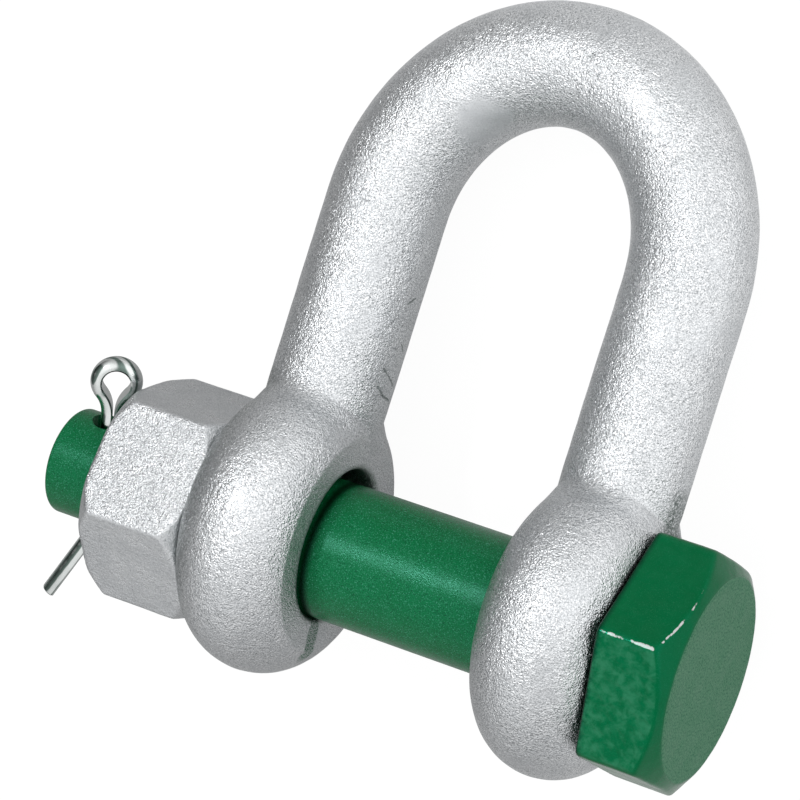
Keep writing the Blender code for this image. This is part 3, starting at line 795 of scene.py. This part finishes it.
def galvanised(name, grain_size, grainy_side=None, smooth_place=None, paint_run=False,
               painted_shade_rings=(), scuffs=()):
    """Hot-dip zinc: small bright and dark grains, smoother patches, duller turned flats.

    With grainy_side, only the side that faces this direction has the full grain. A smooth
    place is a centre and a radius within which the zinc has run smooth. With paint_run, the
    bolt's paint has rubbed off on the left eye. Each painted shade ring is the X of a speckled
    ring of painted shade on the eyes, how far it fades out on both sides, and its share there.
    Each scuff is a dark line's two ends and half its width.
    """
    g = Graph(name)
    place = g.place()
    patches = g.noise(place, 14 * MM, 3.0, 0.55)
    if grainy_side:
        strength = g.remap(g.facing(grainy_side), 0.85, 0.97, 0.5, 1.0)
    else:
        strength = g.remap(patches, 0.30, 0.50, 0.6, 1.0)
    clouds = g.noise(place, 7 * MM, 3.0, 0.6)
    roughness = g.remap(clouds, 0.35, 0.65, 0.33, 0.27)
    if smooth_place:
        centre, radius = smooth_place
        away = g.math("MULTIPLY_ADD", patches, radius, g.distance(place, centre))
        smooth = g.remap(away, 1.7 * radius, 1.1 * radius)
        strength = g.math("MULTIPLY", strength, g.math("MULTIPLY_ADD", smooth, -0.8, 1.0))
        roughness = g.math("MULTIPLY_ADD", smooth, 0.25, roughness)
    fine = g.noise(place, grain_size, 1.0, 0.5)
    flecks = g.noise(place, grain_size * 0.9, 1.0, 0.5)
    lumps = g.noise(place, grain_size * 3.0, 2.0, 0.5)
    height = g.math("SUBTRACT", g.math("ADD", lumps, fine), 1.0)
    height = g.math("MULTIPLY", height, strength)
    colour = g.mix(g.remap(clouds, 0.35, 0.65), *ZINC)
    dark = g.math("MULTIPLY", g.remap(flecks, 0.46, 0.34), strength)
    colour = g.mix(dark, colour, ZINC_DARK_GRAIN)
    bright = g.math("MULTIPLY", g.remap(flecks, 0.54, 0.66), strength)
    colour = g.mix(bright, colour, ZINC_BRIGHT_GRAIN)
    stains = g.math("MULTIPLY", g.remap(g.noise(place, 5 * MM, 4.0, 0.65), 0.64, 0.76),
                    g.remap(fine, 0.55, 0.40))
    colour = g.mix(stains, colour, ZINC_STAIN)
    speckle = g.remap(g.noise(place, 0.7 * MM, 2.0, 0.6), 0.62, 0.46)
    # Painted shade: speckled dark rings on the eyes where the nut and the head shade the zinc
    for ring, fade, most in painted_shade_rings:
        on_eye = g.remap(off_bore(g, place), EYE_RADIUS + 3 * MM, EYE_RADIUS - 1 * MM)
        painted_shade = g.math("MULTIPLY", g.remap(off_plane(g, place, ring), fade, 0.0, 0.0, most),
                       g.math("MULTIPLY", speckle, on_eye))
        colour = g.mix(painted_shade, colour, ZINC_PAINTED_SHADE)
    flat = g.remap(g.math("ABSOLUTE", g.facing((1, 0, 0))), 0.93, 0.99)
    roughness = g.math("MULTIPLY_ADD", flat, 0.15, roughness)
    normal = g.bump(height, GRAIN_HEIGHT)
    if paint_run:
        run = g.math("MULTIPLY", paint_left(g, place), g.remap(flecks, 0.45, 0.56))
        colour = g.mix(run, colour, PAINT_ON_ZINC)
        roughness = g.math("MULTIPLY_ADD", run, 0.2, roughness)
    for start, end, half_width in scuffs:
        ragged = g.math("MULTIPLY_ADD", fine, half_width, g.off_line(place, start, end))
        scuffed = g.remap(ragged, 1.3 * half_width, 0.6 * half_width, 0.0, 0.75)
        colour = g.mix(scuffed, colour, ZINC_SCUFF)
    return g.finish(Base_Color=colour, Metallic=1.0, Roughness=roughness, Normal=normal)


def green_paint(name, depth, gleam, peel_form, dust, lumpy_side=None, painted_shade_rings=(),
                painted_glints=()):
    """Gloss enamel over forged steel: orange peel, fine dust, and a pale end: chalky speckle
    over a painted reflection of the floor.

    A smaller depth makes a darker green. The gleam is the tint of what it mirrors. The
    peel's form is its size and height. With lumpy_side, only the side that faces this
    direction has the full peel and lighter patches of painted sheen. Each painted shade
    ring is the X of a ring of painted shade and how far it fades out on both sides. Each
    painted glint is the direction that a rounded corner faces where a pale highlight is
    painted.
    """
    g = Graph(name)
    place = g.place()
    peel_size, peel_height = peel_form
    clouds = g.noise(place, 6 * MM, 3.0, 0.6)
    shades = [(*(level * depth for level in green), 1) for green in GREEN]
    colour = g.mix(clouds, *shades)
    grains = g.noise(place, 0.28 * MM, 2.0, 0.6)
    light = g.math("MULTIPLY", g.remap(grains, 0.56, 0.70), dust)
    colour = g.mix(light, colour, GREEN_DUST)
    dark = g.math("MULTIPLY", g.remap(grains, 0.46, 0.34), dust)
    colour = g.mix(dark, colour, GREEN_PIT)
    # Pale end face: chalky speckle, partly a painted reflection of the white floor; the end is
    # also duller
    end = g.remap(g.facing((1, 0, 0)), 0.93, 0.98)
    chalk_and_sheen = g.mix(g.remap(g.noise(place, 0.5 * MM, 2.0, 0.6), 0.30, 0.62), *GREEN_CHALK_AND_FLOOR_SHEEN)
    colour = g.mix(end, colour, chalk_and_sheen)
    # Painted shade: dark rings where the pin goes into the bores and where the head meets the
    # eye
    for ring, fade in painted_shade_rings:
        colour = g.mix(g.remap(off_plane(g, place, ring), fade, 0.0), colour, GREEN_PAINTED_SHADE)
    peel = g.math("SUBTRACT", g.noise(place, peel_size, 2.0, 0.5, 0.2), 0.5)
    if lumpy_side:
        lumpy = g.remap(g.facing(lumpy_side), 0.90, 0.99, 0.08, 1.0)
        # Painted reflection: lighter patches on the lumpy side stand in for light that its
        # lumps mirror
        sheen_patches = g.remap(g.noise(place, 2.6 * MM, 3.0, 0.6, 0.3), 0.36, 0.72)
        colour = g.mix(g.math("MULTIPLY", sheen_patches, lumpy), colour, GREEN_PAINTED_SHEEN)
        peel = g.math("MULTIPLY", peel, lumpy)
    glint_breaks = g.remap(g.noise(place, 2.0 * MM, 3.0, 0.6), 0.36, 0.62)
    # Painted highlight: thin pale lines where rounded edges face these directions, broken up
    # by noise
    for edge in painted_glints:
        facing = g.math("MULTIPLY_ADD", glint_breaks, 0.024, g.facing(edge))
        colour = g.mix(g.remap(facing, 1.000, 1.012), colour, PAINTED_GLINT)
    gloss = g.remap(clouds, 0.3, 0.7, 0.24, 0.16)
    roughness = g.math("MULTIPLY_ADD", end, 0.35, gloss)
    normal = g.bump(peel, peel_height)
    normal = g.bump(grains, 0.05 * MM * dust, 1.0, normal)
    return g.finish(Base_Color=colour, Metallic=0.0, Roughness=roughness, Normal=normal,
                    Specular_IOR_Level=0.33, Specular_Tint=gleam)


def plated_wire(name):
    """Bright plated wire with fine lines, and dark bands of painted reflection where its
    surface is turned aside.
    """
    g = Graph(name)
    place = g.place()
    lines = g.noise(place, 0.35 * MM, 2.0, 0.6)
    clouds = g.noise(place, 2.5 * MM, 3.0, 0.6)
    colour = g.mix(clouds, *WIRE)
    # Painted reflection: dark bands by which way the wire faces, as its mirrored surroundings
    # would show
    side = g.math("MULTIPLY_ADD", clouds, 0.08, g.facing(WIRE_SIDE))
    for middle, half_width in WIRE_SHADE_BANDS:
        aside = g.math("ABSOLUTE", g.math("SUBTRACT", side, middle))
        painted_band = g.remap(aside, half_width, 0.4 * half_width, 0.0, 0.85)
        colour = g.mix(painted_band, colour, WIRE_PAINTED_SHADE)
    roughness = g.remap(clouds, 0.3, 0.7, 0.10, 0.18)
    normal = g.bump(g.math("MULTIPLY_ADD", clouds, 0.5, lines), 0.04 * MM, 0.5)
    return g.finish(Base_Color=colour, Metallic=1.0, Roughness=roughness, Normal=normal)


# Studio

def add_area(name, location, target, size, power):
    light = bpy.data.lights.new(name, "AREA")
    light.shape = "RECTANGLE"
    light.size, light.size_y = size
    light.energy = power
    lamp = bpy.data.objects.new(name, light)
    lamp.location = location
    aim = Vector(target) - Vector(location)
    lamp.rotation_euler = aim.to_track_quat("-Z", "Y").to_euler()
    bpy.context.scene.collection.objects.link(lamp)
    return lamp


def along(tree, coordinate, direction, low, high, least, most):
    """A value that grows from least to most where a coordinate goes along a direction."""
    place = tree.nodes.new("ShaderNodeTexCoord")
    dot = tree.nodes.new("ShaderNodeVectorMath")
    dot.operation = "DOT_PRODUCT"
    dot.inputs[1].default_value = Vector(direction).normalized()
    tree.links.new(place.outputs[coordinate], dot.inputs[0])
    ramp = tree.nodes.new("ShaderNodeMapRange")
    ramp.interpolation_type = "SMOOTHSTEP"
    ramp.inputs["From Min"].default_value = low
    ramp.inputs["From Max"].default_value = high
    ramp.inputs["To Min"].default_value = least
    ramp.inputs["To Max"].default_value = most
    tree.links.new(dot.outputs["Value"], ramp.inputs["Value"])
    return ramp.outputs["Result"]


def seen_directly(tree):
    """How much a ray sees the white background: wholly from the camera, partly in metal."""
    path = tree.nodes.new("ShaderNodeLightPath")
    in_metal = tree.nodes.new("ShaderNodeMath")
    in_metal.operation = "MULTIPLY_ADD"
    in_metal.use_clamp = True
    tree.links.new(path.outputs["Is Glossy Ray"], in_metal.inputs[0])
    tree.links.new(along(tree, "Object", *FLOOR_IN_METAL), in_metal.inputs[1])
    tree.links.new(path.outputs["Is Camera Ray"], in_metal.inputs[2])
    total = tree.nodes.new("ShaderNodeMath")
    total.operation = "MAXIMUM"
    tree.links.new(path.outputs["Is Transmission Ray"], total.inputs[0])
    tree.links.new(in_metal.outputs[0], total.inputs[1])
    return total.outputs[0]


def make_floor():
    """A white floor that glows a little for the camera and still takes a soft shadow."""
    size = FLOOR_HALF_SIZE
    mesh = bpy.data.meshes.new("floor")
    corners = [(-size, -size, 0), (size, -size, 0), (size, size, 0), (-size, size, 0)]
    mesh.from_pydata(corners, [], [(0, 1, 2, 3)])
    floor = bpy.data.objects.new("floor", mesh)
    bpy.context.scene.collection.objects.link(floor)
    material = bpy.data.materials.new("white_floor")
    material.use_nodes = True
    tree = material.node_tree
    shader = tree.nodes["Principled BSDF"]
    shader.inputs["Base Color"].default_value = (FLOOR_GREY, FLOOR_GREY, FLOOR_GREY, 1)
    shader.inputs["Roughness"].default_value = 1.0
    shader.inputs["Specular IOR Level"].default_value = 0.0
    glow = tree.nodes.new("ShaderNodeEmission")
    glow.inputs["Strength"].default_value = FLOOR_GLOW
    share = tree.nodes.new("ShaderNodeMath")
    share.operation = "MULTIPLY"
    share.inputs[1].default_value = FLOOR_GLOW_SHARE
    tree.links.new(seen_directly(tree), share.inputs[0])
    mix = tree.nodes.new("ShaderNodeMixShader")
    tree.links.new(share.outputs[0], mix.inputs[0])
    tree.links.new(shader.outputs[0], mix.inputs[1])
    tree.links.new(glow.outputs[0], mix.inputs[2])
    tree.links.new(mix.outputs[0], tree.nodes["Material Output"].inputs["Surface"])
    mesh.materials.append(material)


def make_world():
    """A light tent: bright overhead and to the right, dimmer to the front and the left."""
    world = bpy.data.worlds.new("studio")
    bpy.context.scene.world = world
    world.use_nodes = True
    tree = world.node_tree
    total = None
    for part in WORLD_LOBES:
        level = along(tree, "Generated", *part)
        if total is not None:
            adding = tree.nodes.new("ShaderNodeMath")
            adding.operation = "ADD"
            tree.links.new(total, adding.inputs[0])
            tree.links.new(level, adding.inputs[1])
            level = adding.outputs[0]
        total = level
    background = tree.nodes["Background"]
    background.inputs["Color"].default_value = (1, 1, 1, 1)
    tree.links.new(total, background.inputs["Strength"])


def make_studio():
    make_world()
    make_floor()
    add_area("key", KEY_DIRECTION, (0, 0, 0), (KEY_SIZE, KEY_SIZE), KEY_POWER)

    camera = bpy.data.objects.new("camera", bpy.data.cameras.new("camera"))
    turn = Euler([math.radians(angle) for angle in CAMERA_ROTATION])
    camera.matrix_world = LYING @ Matrix.LocRotScale(CAMERA_LOCATION, turn, None)
    camera.data.lens = CAMERA_LENS
    camera.data.sensor_width = SENSOR_WIDTH
    camera.data.clip_start = 0.01
    bpy.context.scene.collection.objects.link(camera)
    bpy.context.scene.camera = camera
    bpy.context.scene.view_settings.view_transform = "Standard"


def paint(piece, material):
    piece.data.materials.clear()
    piece.data.materials.append(material)


paint(make_bow(), galvanised("galvanised_bow", BOW_GRAIN, smooth_place=SMOOTH_PLACE,
                             paint_run=True, painted_shade_rings=(NUT_CREVICE_SHADE, HEAD_CREVICE_SHADE),
                             scuffs=SCUFFS))
paint(make_head(), green_paint("green_head", 0.75, HEAD_GLEAM, HEAD_PEEL, 0.15,
                               HEAD_LUMPY_SIDE, (SEAT_SHADE_RING,), HEAD_PAINTED_GLINTS))
paint(make_shank(), green_paint("green_shank", 0.93, SHANK_GLEAM, SHANK_PEEL, 1.0,
                                painted_shade_rings=JAW_SHADE_RINGS))
paint(make_nut(), galvanised("galvanised_nut", NUT_GRAIN, NUT_GRAINY_SIDE))
paint(make_split_pin(), plated_wire("plated_wire"))
make_studio()

bpy.context.view_layer.update()
